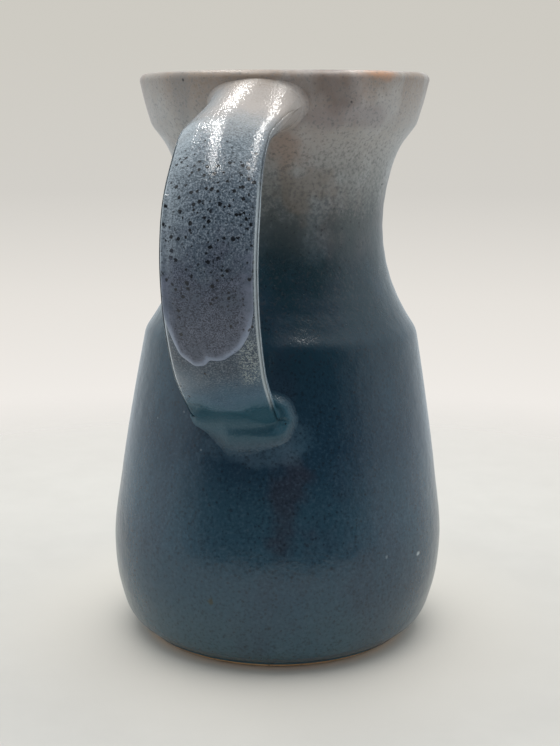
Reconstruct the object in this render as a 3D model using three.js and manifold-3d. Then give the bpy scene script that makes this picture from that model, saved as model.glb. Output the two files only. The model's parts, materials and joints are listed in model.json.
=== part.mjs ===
// A wheel-thrown stoneware pitcher: a round body with a pulled spout, a strap handle luted on with
// two coils of clay, and the glass coats fired onto it. Millimetres, +Z up. The origin is the centre
// of the flat foot, the handle is towards -Y and the spout towards +Y.

import * as THREE from 'three';
import { mergeVertices } from 'three/addons/utils/BufferGeometryUtils.js';
import Module from 'manifold-3d';

// ---------- driving dimensions ----------

const RIM_HEIGHT = 205; // foot to the top of the lip
const FOOT_RADIUS = 46.8; // flat ring and floor that the pitcher stands on
const GLAZE_LINE = { radius: 50, height: 1.8 }; // where the wiped foot ends and the glaze begins
const BELLY = { radius: 61.8, height: 34 };
const SHOULDER = { radius: 50.1, height: 113.5 }; // soft crease between belly and neck
const WAIST = { radius: 36.6, height: 150 };
const COLLAR = { radius: 47.4, height: 187 }; // soft corner where the neck turns up into the rim band
const LIP = { outer: 51.6, radius: 2.5 }; // half-round lip at the top of the rim band

const WALL_AT_FOOT = 7.5; // clay and both glazes together
const WALL_AT_RIM = 2 * LIP.radius;
const FLOOR = 8;
const FLOOR_CORNER = 16; // how far the rounding between floor and wall reaches

const GLAZE = 0.6; // fired thickness of a glass coat
const GAP = 0.3; // clearance kept between touching solids
const BARE = GLAZE + GAP; // the clay lies this far under the visible surface

const SPOUT = { pull: 13, raise: 3.5, pinch: 3, halfAngle: 24, pinchAngle: 40, start: 165 };

const STRAP = { width: 29.8, thickness: 7 }; // over the glaze
const STRAP_ASIDE = -1.6; // where the handle's middle stands, in X
const STRAP_SKEW = 2; // the top of the handle sits this far to +X of that, the bottom as far to -X
const STRAP_MIDDLE = 143; // height of the handle's middle
const STRAP_HALF_SPAN = 57;
// Middle of the strap from the rim band to the belly, as [distance from the axis, height].
const STRAP_ROUTE = [
  [45, 198], [58, 191.4], [77, 184.4], [91.6, 172.6], [98.5, 152.3],
  [94.8, 134.6], [80.6, 112], [66.1, 99.7], [45, 83.4],
];

const UPPER_COIL = { reach: 69, side: 2.4, above: 1.6, below: 9 };
const LOWER_COIL = { reach: 76, side: 3.4, above: 3.6, below: 3 };

const RUN = { top: 156, bottom: 118, width: 23, thickness: 0.5 }; // thick run of glaze on the strap

const AROUND = 32; // facets round the body
const STRAP_SIDES = 12;
const STRAP_STEPS = 22;
const COIL_STEPS = 7;
const MERGE_DISTANCE = 1e-4;

const MATERIAL = {
  clay: new THREE.MeshStandardMaterial({ color: 0xc2a27e, roughness: 0.85, metalness: 0 }),
  bodyGlaze: new THREE.MeshStandardMaterial({ color: 0x2c4a5c, roughness: 0.3, metalness: 0 }),
  linerGlaze: new THREE.MeshStandardMaterial({ color: 0x8f918c, roughness: 0.3, metalness: 0 }),
  handleGlaze: new THREE.MeshStandardMaterial({ color: 0x5d6c7c, roughness: 0.25, metalness: 0 }),
  runGlaze: new THREE.MeshStandardMaterial({ color: 0x74748c, roughness: 0.25, metalness: 0 }),
};

const wasm = await Module();
wasm.setup();

// ---------- helpers ----------

function solidFrom(geometry) {
  geometry.deleteAttribute('normal');
  geometry.deleteAttribute('uv');
  const merged = mergeVertices(geometry, MERGE_DISTANCE);
  return new wasm.Manifold(new wasm.Mesh({
    numProp: 3,
    vertProperties: new Float32Array(merged.attributes.position.array),
    triVerts: new Uint32Array(merged.index.array),
  }));
}

function meshFrom(name, solid, material) {
  const { vertProperties, triVerts } = solid.getMesh();
  const geometry = new THREE.BufferGeometry();
  geometry.setAttribute('position', new THREE.BufferAttribute(vertProperties, 3));
  geometry.setIndex(new THREE.BufferAttribute(triVerts, 1));
  geometry.computeVertexNormals();
  const mesh = new THREE.Mesh(geometry, material);
  mesh.name = name;
  return mesh;
}

// Moves every point of an outline into the wall, at right angles to the outline.
function sunk(outline, depth) {
  return outline.map((point, i) => {
    const before = outline[Math.max(i - 1, 0)];
    const after = outline[Math.min(i + 1, outline.length - 1)];
    const along = after.clone().sub(before).normalize();
    return new THREE.Vector2(point.x - along.y * depth, point.y + along.x * depth);
  });
}

// The spout: the thrown collar is pushed out and up at +Y by a finger, and pinched beside it.
function pullSpout(geometry) {
  const position = geometry.attributes.position;
  for (let i = 0; i < position.count; i++) {
    const [x, y, z] = [position.getX(i), position.getY(i), position.getZ(i)];
    const radius = Math.hypot(x, y);
    const angle = THREE.MathUtils.radToDeg(Math.atan2(x, y));
    const lift = THREE.MathUtils.smoothstep(z, SPOUT.start, RIM_HEIGHT);
    const push = Math.exp(-((angle / SPOUT.halfAngle) ** 2));
    const beside = Math.exp(-(((Math.abs(angle) - SPOUT.pinchAngle) / (SPOUT.halfAngle / 2)) ** 2));
    const moved = radius + (SPOUT.pull * push - SPOUT.pinch * beside) * lift ** 1.5;
    const scale = radius > 0 ? moved / radius : 1;
    position.setXYZ(i, x * scale, y * scale, z + SPOUT.raise * push * lift ** 2);
  }
  return geometry;
}

// Turns an outline of (radius, height) points into a round solid about +Z, with the spout pulled.
function thrown(outline) {
  return solidFrom(pullSpout(new THREE.LatheGeometry(outline, AROUND).rotateX(Math.PI / 2)));
}

// ---------- the visible outline of the pot ----------

const at = (radius, height) => new THREE.Vector2(radius, height);
const spline = (points, steps) =>
  new THREE.SplineCurve(points.map(([radius, height]) => at(radius, height))).getPoints(steps);

const belly = spline([
  [GLAZE_LINE.radius, GLAZE_LINE.height], [55.8, 7], [59.6, 17], [BELLY.radius, BELLY.height],
  [59.1, 60], [54.4, 90], [SHOULDER.radius + 0.2, SHOULDER.height - 0.8],
], 9);
const neck = spline([
  [SHOULDER.radius - 0.4, SHOULDER.height + 0.8], [45.4, 121], [39.5, 134],
  [WAIST.radius, WAIST.height], [37.8, 166], [42.3, 180], [COLLAR.radius - 0.3, COLLAR.height - 0.4],
], 8);
const rimBand = spline([
  [COLLAR.radius + 0.3, COLLAR.height + 0.6], [50.1, 196], [LIP.outer, RIM_HEIGHT - LIP.radius],
], 2);
const outside = [...belly, ...neck, ...rimBand];

const lipCurve = new THREE.EllipseCurve(
  LIP.outer - LIP.radius, RIM_HEIGHT - LIP.radius, LIP.radius, LIP.radius, 0, Math.PI,
);
const lip = lipCurve.getPoints(4).slice(1);

// The inside wall follows the outside, thinner towards the rim, and rounds into a flat floor.
const lipUnderside = RIM_HEIGHT - LIP.radius - GLAZE;
const wallAt = (height) =>
  THREE.MathUtils.lerp(WALL_AT_FOOT, WALL_AT_RIM, height / RIM_HEIGHT);
const throughWall = (share) =>
  outside.map((point, i) => sunk(outside, wallAt(point.y) * share)[i]);
const insideWall = throughWall(1)
  .filter((point) => point.y > FLOOR + FLOOR_CORNER && point.y < lipUnderside)
  .reverse();
const cornerTop = insideWall[insideWall.length - 1];
const floorCorner = new THREE.QuadraticBezierCurve(
  cornerTop, at(cornerTop.x - 0.5, FLOOR), at(cornerTop.x - FLOOR_CORNER, FLOOR),
).getPoints(3).slice(1);

// ---------- the pot ----------

const skin = [...outside, ...lip, ...insideWall, ...floorCorner, at(0, FLOOR)];
const pot = (depth) => thrown([at(0, 0), at(FOOT_RADIUS, 0), ...sunk(skin, depth)]);

// All the glass is one even layer on the skin. The outer coat stops at the wiped foot and rolls over
// the lip, and the liner begins just under the lip.
const glass = pot(0).subtract(pot(GLAZE));
const core = (top) => thrown([at(0, 0), ...throughWall(0.5), at(LIP.outer - LIP.radius, top), at(0, top)]);
const wiped = thrown([
  at(0, -1), at(BELLY.radius, -1), at(BELLY.radius, GLAZE_LINE.height), at(0, GLAZE_LINE.height),
]);

const body = pot(BARE);
const outerCoat = glass.subtract(core(lipUnderside)).subtract(wiped);
const linerCoat = glass.intersect(core(lipUnderside - GAP));

// Everything inside the body's outer wall, a clearance more and the space over the lip. It trims
// the handle's pieces.
const overLip = RIM_HEIGHT + STRAP.thickness;
const trimmed = sunk(outside, GLAZE);
const filled = thrown([
  at(0, 0), at(FOOT_RADIUS, 0), ...trimmed,
  at(trimmed[trimmed.length - 1].x, overLip), at(0, overLip),
]);

// ---------- the handle ----------

const strapCurve = new THREE.CatmullRomCurve3(
  STRAP_ROUTE.map(([reach, height]) => new THREE.Vector3(
    STRAP_ASIDE + STRAP_SKEW * (height - STRAP_MIDDLE) / STRAP_HALF_SPAN, -reach, height,
  )),
  false, 'centripetal',
);

// A rounded-flat bar along the strap's route, swollen by the given amounts at each place along it.
function bar(steps, from, to, swell) {
  const geometry = new THREE.CylinderGeometry(1, 1, 1, STRAP_SIDES, steps);
  const position = geometry.attributes.position;
  const side = new THREE.Vector3(1, 0, 0);
  const bulge = (value, power) => Math.sign(value) * Math.abs(value) ** power;
  for (let i = 0; i < position.count; i++) {
    const t = THREE.MathUtils.lerp(from, to, 0.5 - position.getY(i));
    const centre = strapCurve.getPointAt(t);
    const outward = strapCurve.getTangentAt(t).cross(side).normalize();
    const { across, above, below } = swell(-centre.y);
    const rise = bulge(position.getZ(i), 0.8);
    const height = rise * (STRAP.thickness / 2 + (rise > 0 ? above : below));
    const width = bulge(position.getX(i), 0.6) * (STRAP.width / 2 + across);
    centre.addScaledVector(side, width).addScaledVector(outward, height);
    position.setXYZ(i, centre.x, centre.y, centre.z);
  }
  return solidFrom(geometry);
}

// Every piece of the handle is a bar grown from, or sunk under, the glazed surface that shows.
const strapBar = (grow) =>
  bar(STRAP_STEPS, 0, 1, () => ({ across: grow, above: grow, below: grow }));

// A coil smeared round the strap's root: full at the wall, and feathered out along the strap.
function coilBar(coil, from, to, wallReach, grow) {
  const swell = (reach) => {
    const near = THREE.MathUtils.clamp((coil.reach - reach) / (coil.reach - wallReach), 0, 1.2);
    const spread = (amount) => (amount + 1) * near ** 2 - 1 + grow;
    return { across: spread(coil.side), above: spread(coil.above), below: spread(coil.below) };
  };
  return bar(COIL_STEPS, from, to, swell);
}

const upperCoilBar = (grow) => coilBar(UPPER_COIL, 0, 0.21, COLLAR.radius, grow);
const lowerCoilBar = (grow) => coilBar(LOWER_COIL, 0.74, 1, 56, grow);
const whole = (grow) => strapBar(grow).add(upperCoilBar(grow)).add(lowerCoilBar(grow));

const strap = strapBar(-BARE).subtract(filled);
const upperCoil = upperCoilBar(-BARE - GAP).subtract(strapBar(-GLAZE)).subtract(filled);
const lowerCoil = lowerCoilBar(-BARE - GAP).subtract(strapBar(-GLAZE)).subtract(filled);
const handleCoat = whole(0).subtract(whole(-GLAZE)).subtract(filled);

// The run lies on the outward face of the strap only, inside an upright oval.
const runSheet = bar(STRAP_STEPS, 0, 1, () => ({
  across: GAP - RUN.thickness, above: GAP + RUN.thickness, below: -RUN.thickness,
}));
const runOval = solidFrom(
  new THREE.CylinderGeometry(RUN.width / 2, RUN.width / 2, RIM_HEIGHT, 24)
    .scale(1, 1, (RUN.top - RUN.bottom) / RUN.width)
    .translate(0, 0, (RUN.top + RUN.bottom) / 2),
);
const run = runSheet.subtract(strapBar(GAP)).intersect(runOval);

// ---------- assembly ----------

const pitcher = new THREE.Group();
pitcher.add(meshFrom('thrown_body', body, MATERIAL.clay));
pitcher.add(meshFrom('outer_glaze', outerCoat.subtract(whole(GAP)), MATERIAL.bodyGlaze));
pitcher.add(meshFrom('liner_glaze', linerCoat, MATERIAL.linerGlaze));
pitcher.add(meshFrom('strap_handle', strap, MATERIAL.clay));
pitcher.add(meshFrom('upper_luting_coil', upperCoil, MATERIAL.clay));
pitcher.add(meshFrom('lower_luting_coil', lowerCoil, MATERIAL.clay));
pitcher.add(meshFrom('handle_glaze', handleCoat, MATERIAL.handleGlaze));
pitcher.add(meshFrom('glaze_run', run, MATERIAL.runGlaze));

export default pitcher;
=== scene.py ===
# %% [markdown]
# # A hand-thrown stoneware pitcher
# This lesson builds the looks of a glazed pitcher around a CAD model of it: a thrown body, a strap
# handle luted on with two coils of clay, and the coats of glass that were poured over them. The CAD
# model says where everything is and how big it is. Blender makes the soft, slightly uneven surface
# that hands and a kiln leave, and the glaze.

# %% Load the CAD model as a fixed frame
import json
import math
import bpy
import numpy as np
from mathutils import Matrix, Vector

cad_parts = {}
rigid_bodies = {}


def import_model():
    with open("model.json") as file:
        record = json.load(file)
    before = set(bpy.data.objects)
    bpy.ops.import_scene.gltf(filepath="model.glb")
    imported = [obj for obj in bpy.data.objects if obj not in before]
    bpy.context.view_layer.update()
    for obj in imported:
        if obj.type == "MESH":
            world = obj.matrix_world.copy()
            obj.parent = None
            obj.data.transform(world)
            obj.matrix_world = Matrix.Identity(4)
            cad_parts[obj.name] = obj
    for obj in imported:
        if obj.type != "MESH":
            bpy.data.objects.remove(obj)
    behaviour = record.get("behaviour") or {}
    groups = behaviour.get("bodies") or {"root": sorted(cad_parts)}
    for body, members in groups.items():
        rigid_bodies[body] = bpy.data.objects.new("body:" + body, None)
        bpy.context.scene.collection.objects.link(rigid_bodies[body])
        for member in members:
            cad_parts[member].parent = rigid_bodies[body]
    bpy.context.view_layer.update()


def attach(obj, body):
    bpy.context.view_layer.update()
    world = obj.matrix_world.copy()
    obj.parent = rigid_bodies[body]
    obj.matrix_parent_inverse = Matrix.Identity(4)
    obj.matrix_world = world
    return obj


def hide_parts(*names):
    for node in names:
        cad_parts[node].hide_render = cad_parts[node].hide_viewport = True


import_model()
MM = 0.001

# %% [markdown]
# ## Stage and camera
# The pot stands on a sweep of pale paper that has no visible far edge. Here the paper is a disc
# whose rim fades into the background colour, so it looks the same from every side. The camera
# stands a little to the right of the handle and looks slightly down, at the height of the collar.

# %% Camera
CAMERA_AZIMUTH = math.radians(11.3)
CAMERA_REACH = 476.5 * MM
CAMERA_HEIGHT = 192 * MM
CAMERA_PITCH = math.radians(11.4)
CAMERA_ROLL = math.radians(0.4)
CAMERA_SHUFFLE = 0.9 * MM  # sideways, so that the pot stands just left of the middle
LENS = 62.7
to_right = Vector((math.cos(CAMERA_AZIMUTH), math.sin(CAMERA_AZIMUTH), 0))
to_camera = Vector((math.sin(CAMERA_AZIMUTH), -math.cos(CAMERA_AZIMUTH), 0))

camera_data = bpy.data.cameras.new("camera")
camera_data.lens = LENS
camera_data.sensor_width = 36
camera_data.clip_start = 0.01
camera = bpy.data.objects.new("camera", camera_data)
camera.matrix_world = (
    Matrix.Translation(to_camera * CAMERA_REACH + to_right * CAMERA_SHUFFLE + Vector((0, 0, CAMERA_HEIGHT)))
    @ Matrix.Rotation(CAMERA_AZIMUTH, 4, "Z")
    @ Matrix.Rotation(math.pi / 2 - CAMERA_PITCH, 4, "X")
    @ Matrix.Rotation(CAMERA_ROLL, 4, "Z")
)
bpy.context.scene.collection.objects.link(camera)
bpy.context.scene.camera = camera
bpy.context.scene.view_settings.view_transform = "Standard"

# %% [markdown]
# ## Helpers for node trees
# Every material below is a node tree. These short helpers add a node, set its values and wire it in
# one line, so that a tree reads from top to bottom like a recipe.

# %% Node helpers
def feed(tree, socket, value):
    """Gives an input its value: a wire from another node's socket, or a plain number or colour."""
    if isinstance(value, bpy.types.NodeSocket):
        tree.links.new(value, socket)
    else:
        socket.default_value = value


def put(tree, kind, inputs=None, **settings):
    """Adds a node. Settings are its properties; inputs are values or sockets, by name or number."""
    node = tree.nodes.new(kind)
    for key, value in settings.items():
        setattr(node, key, value)
    for key, value in (inputs or {}).items():
        feed(tree, node.inputs[key], value)
    return node


def math_node(tree, operation, first, second=0.0):
    return put(tree, "ShaderNodeMath", {0: first, 1: second}, operation=operation).outputs[0]


def times(tree, first, second):
    return math_node(tree, "MULTIPLY", first, second)


def plus(tree, first, second):
    return math_node(tree, "ADD", first, second)


def vector_node(tree, operation, first, second):
    return put(tree, "ShaderNodeVectorMath", {0: first, 1: second}, operation=operation).outputs[0]


def blend_colour(tree, amount, first, second):
    node = put(tree, "ShaderNodeMix", {0: amount, 6: first, 7: second}, data_type="RGBA")
    return node.outputs[2]


def paint_over(tree, under, mask, strength, paint):
    """The colour under it, with a paint laid on where the mask is, no stronger than strength."""
    return blend_colour(tree, times(tree, mask, strength), under, paint)


def remap(tree, value, low, high, to_low=0.0, to_high=1.0, smooth=True):
    """A mask that runs from to_low to to_high while value runs from low to high."""
    node = put(
        tree, "ShaderNodeMapRange",
        {"Value": value, "From Min": low, "From Max": high, "To Min": to_low, "To Max": to_high},
        interpolation_type="SMOOTHSTEP" if smooth else "LINEAR",
    )
    return node.outputs["Result"]


def ramp(tree, value, stops):
    """A colour ramp from (place, colour) stops."""
    node = put(tree, "ShaderNodeValToRGB", {"Fac": value})
    elements = node.color_ramp.elements
    while len(elements) < len(stops):
        elements.new(0.5)
    for element, (place, colour) in zip(elements, stops):
        element.position = place
        element.color = colour
    return node.outputs["Color"]

# %% [markdown]
# Colours are easiest to judge as they look on a screen, so they are written that way below. Patterns
# that several materials share become node groups, which are made and placed with two more helpers.

# %% Colours, groups and materials
def rgb(red, green, blue):
    """A colour from 0 to 255 screen values, as the linear values that a shader wants."""
    def linear(value):
        value /= 255
        return value / 12.92 if value <= 0.04045 else ((value + 0.055) / 1.055) ** 2.4
    return (linear(red), linear(green), linear(blue), 1.0)


def grey_ramp(tree, value, stops):
    """A ramp of plain values, from (place, value) stops."""
    return ramp(tree, value, [(place, (level, level, level, 1.0)) for place, level in stops])


def new_group(name, inputs, outputs):
    """A shader node group; inputs are (name, kind, default) and outputs are (name, kind)."""
    group = bpy.data.node_groups.new(name, "ShaderNodeTree")
    for label, kind, default in inputs:
        socket = group.interface.new_socket(label, in_out="INPUT", socket_type="NodeSocket" + kind)
        socket.default_value = default
    for label, kind in outputs:
        group.interface.new_socket(label, in_out="OUTPUT", socket_type="NodeSocket" + kind)
    return group, group.nodes.new("NodeGroupInput"), group.nodes.new("NodeGroupOutput")


def use_group(tree, group, **values):
    """Places a group in a tree, with its inputs given by name (an underscore stands for a space)."""
    node = tree.nodes.new("ShaderNodeGroup")
    node.node_tree = group
    for key, value in values.items():
        feed(tree, node.inputs[key.replace("_", " ")], value)
    return node


def new_material(name):
    """A material with one shader in it, given back with its node tree."""
    material = bpy.data.materials.new(name)
    material.use_nodes = True
    tree = material.node_tree
    tree.nodes.clear()
    shader = tree.nodes.new("ShaderNodeBsdfPrincipled")
    output = tree.nodes.new("ShaderNodeOutputMaterial")
    tree.links.new(shader.outputs["BSDF"], output.inputs["Surface"])
    return material, tree, shader

# %% [markdown]
# ## The soft curve through a few points
# Both the pot's outline and the strap's route are a handful of points. A cubic that passes through
# them, with its slope at each point taken from the two neighbours and weighted by their distances,
# gives a smooth line that does not overshoot where two points stand close together.

# %% Lines through points
def smooth_line(points, step):
    """Points along a smooth curve through the given ones, about step apart."""
    p = np.asarray(points, float)
    gap = np.linalg.norm(np.diff(p, axis=0), axis=1)[:, None]
    slope = np.diff(p, axis=0) / gap
    between = (slope[:-1] * gap[1:] + slope[1:] * gap[:-1]) / (gap[1:] + gap[:-1])
    tangent = np.vstack([slope[:1], between, slope[-1:]])
    line = [p[0]]
    for i in range(len(gap)):
        count = max(2, math.ceil(gap[i, 0] / step))
        t = (np.arange(1, count + 1) / count)[:, None]
        line.append(
            (2 * t**3 - 3 * t**2 + 1) * p[i] + (t**3 - 2 * t**2 + t) * gap[i] * tangent[i]
            + (3 * t**2 - 2 * t**3) * p[i + 1] + (t**3 - t**2) * gap[i] * tangent[i + 1]
        )
    return np.vstack(line)


def walked_along(line):
    """The distance along a line at each of its points."""
    return np.concatenate([[0], np.cumsum(np.linalg.norm(np.diff(line, axis=0), axis=1))])


def even_line(line, step):
    """The same line with its points spaced evenly."""
    length = walked_along(line)
    count = max(2, round(length[-1] / step))
    at = np.linspace(0, length[-1], count + 1)
    return np.column_stack([np.interp(at, length, line[:, k]) for k in range(line.shape[1])])


def normals_of(line):
    """Unit normals of a flat line of (radius, height) points, to the right of its direction."""
    along = np.gradient(line, axis=0)
    along /= np.linalg.norm(along, axis=1)[:, None]
    return np.column_stack([along[:, 1], -along[:, 0]])


def rubbed(line, strokes):
    """A line of points or numbers with its corners rubbed down in place; its two ends stay."""
    for stroke in range(strokes):
        line[1:-1] = (line[:-2] + 2 * line[1:-1] + line[2:]) / 4
    return line


def rubbed_ring(ring, strokes):
    """The same for a line that closes on itself."""
    for stroke in range(strokes):
        ring = (np.roll(ring, 1, 0) + 2 * ring + np.roll(ring, -1, 0)) / 4
    return ring


def smoothstep(value, low, high):
    t = np.clip((value - low) / (high - low), 0, 1)
    return t * t * (3 - 2 * t)

# %% [markdown]
# ## The pot's outline
# A thrown pot is round, so its shape is one line: the radius of the wall at each height. The potter's
# line has three parts that meet in soft creases: the belly, the neck and the upright rim band. The
# same few points were turned in CAD. Here they are joined by a smooth line, and the two creases are
# rubbed down as a wet sponge would.

# %% Outline of the outside, over the glaze
BELLY = [(50, 1.8), (55.8, 7), (59.6, 17), (61.8, 34), (59.1, 60), (54.4, 90), (50.3, 112.7)]
NECK = [(49.7, 114.3), (45.4, 121), (39.5, 134), (36.6, 150), (37.8, 166), (42.3, 180), (47.1, 186.6)]
BAND = [(47.7, 187.6), (50.1, 196), (51.6, 202.5)]
RIM_TOP = 205 * MM
LIP_RADIUS = 2.5 * MM
WALL_AT_FOOT, WALL_AT_RIM = 7.5 * MM, 5 * MM
ROW = 1.1 * MM  # between the rows of the mesh

outline = np.vstack([smooth_line(np.array(part) * MM, 0.4 * MM) for part in (BELLY, NECK, BAND)])
outline = rubbed(even_line(outline, 0.5 * MM), 4)


def outside_radius(height):
    return np.interp(height, outline[:, 1], outline[:, 0])


def wall_thickness(height):
    return np.interp(height, [0, RIM_TOP], [WALL_AT_FOOT, WALL_AT_RIM])


print("widest radius, mm:", round(outline[:, 0].max() / MM, 2))

# %% [markdown]
# ## From the outline to the pot
# A wheel never runs quite true and a kiln moves things a little more. So the outline is turned
# through a function that bends it: a slow wobble of a few tenths of a millimetre, the spout pulled
# out of the rim on the +Y side, a rim that is a trace higher on one side, and a slight lean of the
# whole pot. Every coat and every piece of clay goes through the same function, so that they fit.

# %% Bend the pot as hands and kiln did
SPOUT = dict(pull=13 * MM, raised=3.5 * MM, pinch=3 * MM, half=24, pinch_at=40, pinch_half=12)
SPOUT_START = 165 * MM
RIM_SLOPE = 0.009
LEAN = 0.0092


def wobble(height, angle):
    h = height / MM
    return MM * np.clip(h / 40, 0.2, 1) * (
        0.22 * np.sin(2 * angle + 0.9 + 0.011 * h) + 0.12 * np.sin(3 * angle - 0.6 - 0.02 * h)
        + 0.05 * np.sin(5 * angle + 0.05 * h)
    )


def lean(points):
    return points + np.asarray(points)[..., 2:3] * LEAN * np.array(to_right)


def bend(radius, height, angle):
    """A point of the turned pot; angle runs from +Y towards +X."""
    angle = (angle + np.pi) % (2 * np.pi) - np.pi
    degrees = np.degrees(angle)
    lift = smoothstep(height, SPOUT_START, RIM_TOP)
    push = np.exp(-(degrees / SPOUT["half"]) ** 2)
    beside = np.exp(-((np.abs(degrees) - SPOUT["pinch_at"]) / SPOUT["pinch_half"]) ** 2)
    shift = (SPOUT["pull"] * push - SPOUT["pinch"] * beside) * lift**1.5
    r = radius + shift + wobble(height, angle) * np.clip(radius / (30 * MM), 0, 1)
    x, y = r * np.sin(angle), r * np.cos(angle)
    z = height + SPOUT["raised"] * push * lift**2 + RIM_SLOPE * x * smoothstep(height, 150 * MM, RIM_TOP)
    return np.stack([x, y, z], axis=-1)

# %% [markdown]
# Fingers leave a spiral of shallow rings: hardly any outside, where a rib smoothed the wall, and
# plain to feel inside. The ripple is a wave whose phase climbs by one turn for each turn of the pot.

# %% Rings from the fingers
def rings(height, angle, pitch, depth):
    h = height / MM
    phase = 2 * np.pi * h / pitch + angle + 1.3 * np.sin(h / 17) + 0.5 * np.sin(2 * angle + h / 29)
    uneven = 0.6 + 0.4 * np.sin(h / 13 + 2 * angle)
    return depth * MM * uneven * np.sin(phase)

# %% [markdown]
# ## Meshes
# Every piece of the pot is a grid of points: rows up the pot or along the strap, columns around it.
# One helper makes a mesh of points and faces, one numbers the faces of a grid, and one turns a closed
# line into a solid of revolution by way of the bend above.

# %% Mesh helpers
def mesh_object(name, vertices, faces, values=None):
    """A mesh with smooth faces; values are numbers for each vertex that the materials read."""
    mesh = bpy.data.meshes.new(name)
    mesh.from_pydata(np.asarray(vertices).tolist(), [], faces)
    for label, numbers in (values or {}).items():
        layer = mesh.attributes.new(label, "FLOAT", "POINT")
        layer.data.foreach_set("value", np.asarray(numbers, np.float32).ravel())
    mesh.shade_smooth()
    mesh.validate()
    piece = bpy.data.objects.new(name, mesh)
    bpy.context.scene.collection.objects.link(piece)
    print(f"{name}: {len(mesh.vertices)} points, {len(mesh.polygons)} faces")
    return piece


def grid_faces(rows, columns, wrap_rows=False, wrap_columns=True, first=0):
    """Quads over a grid of points that is stored row by row."""
    faces = []
    for i in range(rows if wrap_rows else rows - 1):
        below, above = first + i * columns, first + (i + 1) % rows * columns
        for j in range(columns if wrap_columns else columns - 1):
            k = (j + 1) % columns
            faces.append((below + j, below + k, above + k, above + j))
    return faces


AROUND = 288


def turned(name, line, ripple, pole=False):
    """Turns a closed line of (radius, height); with pole, its two ends lie on the axis."""
    angle = np.arange(AROUND) * 2 * np.pi / AROUND
    side = normals_of(line)
    body = slice(1, -1) if pole else slice(None)
    depth = ripple(line[body, 1][:, None], angle[None, :], np.arange(len(line))[body][:, None])
    radius = line[body, 0][:, None] + side[body, 0][:, None] * depth
    height = line[body, 1][:, None] + side[body, 1][:, None] * depth
    points = bend(radius, height, angle[None, :] + 0 * radius)
    vertices = lean(points).reshape(-1, 3)
    faces = grid_faces(len(points), AROUND, wrap_rows=not pole)
    if pole:
        ends = lean(np.array([[0, 0, line[0, 1]], [0, 0, line[-1, 1]]]))
        vertices = np.vstack([vertices, ends])
        bottom, top = len(vertices) - 2, len(vertices) - 1
        last = (len(points) - 1) * AROUND
        for j in range(AROUND):
            k = (j + 1) % AROUND
            faces.append((bottom, k, j))
            faces.append((top, last + j, last + k))
    return mesh_object(name, vertices, faces)

# %% [markdown]
# ## The outer coat
# The pot was held by its foot and the glaze poured over the outside, so the coat runs from a wiped
# line just above the foot up to the lip and a little way down inside. At the wiped line the molten
# glass drew up into a thin rounded bead. The coat is a closed skin 0.6 mm thick: a fine visible side
# and a coarse hidden side.

# %% Outer glaze
GLAZE = 0.6 * MM
OVER_THE_LIP = 198.5 * MM


def inside_line(low, high, sunk=0.0):
    """The inside of the wall from high down to low, as (radius, height)."""
    height = np.arange(high, low, -ROW)
    return np.column_stack([outside_radius(height) - wall_thickness(height) + sunk, height])


def lip_line(sunk=0.0):
    turn = np.radians(np.arange(0, 181, 12))
    centre = (outline[-1, 0] - LIP_RADIUS, outline[-1, 1])
    reach = LIP_RADIUS - sunk
    return np.column_stack([centre[0] + reach * np.cos(turn), centre[1] + reach * np.sin(turn)])


bead = np.array([(-0.55, -0.05), (-0.25, -0.22), (0.1, -0.1), (0.25, 0.25), (0.2, 0.7)]) * MM + outline[0]
INSIDE_TOP = 202 * MM  # where the inside of the lip goes over into the wall
outer_face = np.vstack([
    bead, even_line(outline[4:], ROW), lip_line()[1:], inside_line(OVER_THE_LIP, INSIDE_TOP)
])
back_face = (outer_face - GLAZE * normals_of(outer_face))[len(bead):-1][::-3]
outer_loop = np.vstack([outer_face, back_face])


def outer_ripple(height, angle, row):
    seen = row < len(outer_face)
    soft = 0.3 * smoothstep(height, 4 * MM, 20 * MM) + 0.7 * smoothstep(height, 100 * MM, 140 * MM)
    return np.where(seen, rings(height, angle, 6.5, 0.05) * soft, 0)


outer_glaze = turned("glaze_outside", outer_loop, outer_ripple)
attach(outer_glaze, "root")
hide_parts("outer_glaze")

# %% [markdown]
# ## The liner
# The inside was glazed first, by filling the pot and pouring it out. Its coat follows the wall down
# to a rounded corner and over the floor, where the fingers' spiral opens out from the middle.

# %% Liner glaze
FLOOR = 8 * MM
FLOOR_CORNER = 16 * MM


def floor_line(sunk=0.0):
    """The inside from the lower wall round the corner and along the floor to the middle."""
    top = FLOOR + FLOOR_CORNER
    edge = outside_radius(top) - wall_thickness(top) + sunk
    turn = np.radians(np.arange(8, 91, 8))
    corner = np.column_stack([
        edge - FLOOR_CORNER * (1 - np.cos(turn)), top - (FLOOR_CORNER + sunk) * np.sin(turn)
    ])
    flat = np.arange(corner[-1, 0] - 2 * MM, 1 * MM, -2 * MM)
    middle = np.column_stack([flat, np.full(len(flat), FLOOR - sunk)])
    return np.vstack([corner, middle, [(0, FLOOR - sunk)]])


LINER_SUNK = 0.05 * MM  # so that the outer coat lies over its upper edge
liner_top = OVER_THE_LIP + 1.2 * MM
liner_face = np.vstack([
    inside_line(FLOOR + FLOOR_CORNER, liner_top, LINER_SUNK), floor_line(LINER_SUNK)
])[::-1]
liner_back = np.vstack([
    inside_line(FLOOR + FLOOR_CORNER, liner_top, GLAZE)[::3], floor_line(GLAZE)
])
liner_loop = np.vstack([liner_face, liner_back])


def liner_ripple(height, angle, row):
    seen = row < len(liner_face)
    below_seam = smoothstep(height, 199 * MM, 188 * MM)
    return np.where(seen, rings(height + 0.4 * MM * row, angle, 9, -0.2) * below_seam, 0)


liner_glaze = turned("glaze_inside", liner_loop, liner_ripple, pole=True)
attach(liner_glaze, "root")
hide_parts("liner_glaze")

# %% [markdown]
# ## The clay
# Under the glass is a stoneware pot. It shows only at the foot, a narrow tan ring, and underneath,
# where the wire that cut it off the wheel left its curved ridges. The rest of it lies just under the
# two coats.

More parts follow.
